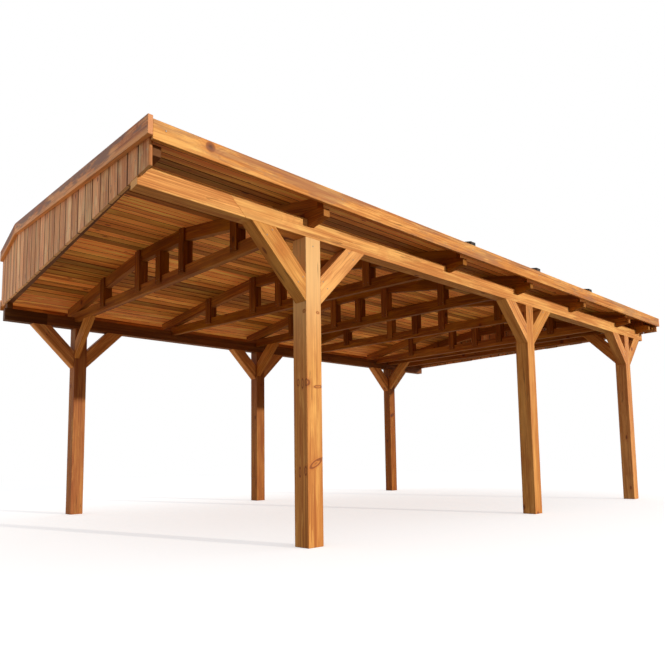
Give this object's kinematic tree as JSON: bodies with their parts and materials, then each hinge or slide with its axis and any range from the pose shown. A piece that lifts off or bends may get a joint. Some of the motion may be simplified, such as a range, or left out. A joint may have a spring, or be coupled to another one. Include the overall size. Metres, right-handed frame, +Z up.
{
  "type": "timber carport",
  "caption": "Open timber frame carport with square posts, knee braces, bow trusses under a boarded roof, and boarded end panels.",
  "frame": {"origin": "on the ground below the middle of the roof, halfway between the two rows of posts and 0.47 m in front of the right middle post", "axes": "+Z up, +X to the right when looking in at the front panel, +Y along the carport to the rear"},
  "size_m": [4.91, 8.3434, 3.15],
  "materials": {
    "barge_timber": "bare sawn softwood with knots and grain",
    "batten_timber": "bare sawn softwood with knots and grain",
    "brace_timber": "bare sawn softwood with knots and grain",
    "deck_board": "bare sawn softwood with knots and grain",
    "fascia_timber": "bare sawn softwood with knots and grain",
    "panel_board": "bare sawn softwood with knots and grain",
    "plate_timber": "bare sawn softwood with knots and grain",
    "post_timber": "bare sawn softwood with knots and grain",
    "roofing_felt": "matt mineral roofing felt, dark grey",
    "tie_timber": "bare sawn softwood with knots and grain",
    "truss_plank": "bare sawn softwood with knots and grain",
    "truss_timber": "bare sawn softwood with knots and grain"
  },
  "bodies": {
    "root": {"braces_front_left": "brace_timber", "braces_front_right": "brace_timber", "braces_middle_left": "brace_timber", "braces_middle_right": "brace_timber", "braces_rear_left": "brace_timber", "braces_rear_right": "brace_timber", "deck_crown": "deck_board", "deck_left": "deck_board", "deck_left_shoulder": "deck_board", "deck_right": "deck_board", "deck_right_shoulder": "deck_board", "fascia_left": "fascia_timber", "fascia_right": "fascia_timber", "front_barge_left": "barge_timber", "front_barge_right": "barge_timber", "front_panel": "panel_board", "front_panel_beam": "tie_timber", "plate_left": "plate_timber", "plate_right": "plate_timber", "post_front_left": "post_timber", "post_front_right": "post_timber", "post_middle_left": "post_timber", "post_middle_right": "post_timber", "post_rear_left": "post_timber", "post_rear_right": "post_timber", "rear_barge": "barge_timber", "rear_panel": "panel_board", "rear_panel_beam": "tie_timber", "rear_tie_beam": "tie_timber", "roof_battens": "batten_timber", "roof_felt": "roofing_felt", "truss_1_lower_chord": "truss_timber", "truss_1_upper_chord": "truss_timber", "truss_1_uprights": "truss_plank", "truss_2_lower_chord": "truss_timber", "truss_2_upper_chord": "truss_timber", "truss_2_uprights": "truss_plank", "truss_3_lower_chord": "truss_timber", "truss_3_upper_chord": "truss_timber", "truss_3_uprights": "truss_plank", "truss_4_lower_chord": "truss_timber", "truss_4_upper_chord": "truss_timber", "truss_4_uprights": "truss_plank", "truss_5_lower_chord": "truss_timber", "truss_5_upper_chord": "truss_timber", "truss_5_uprights": "truss_plank", "truss_rear_lower_chord": "truss_timber", "truss_rear_upper_chord": "truss_timber", "truss_rear_uprights": "truss_plank"}
  },
  "joints": []
}
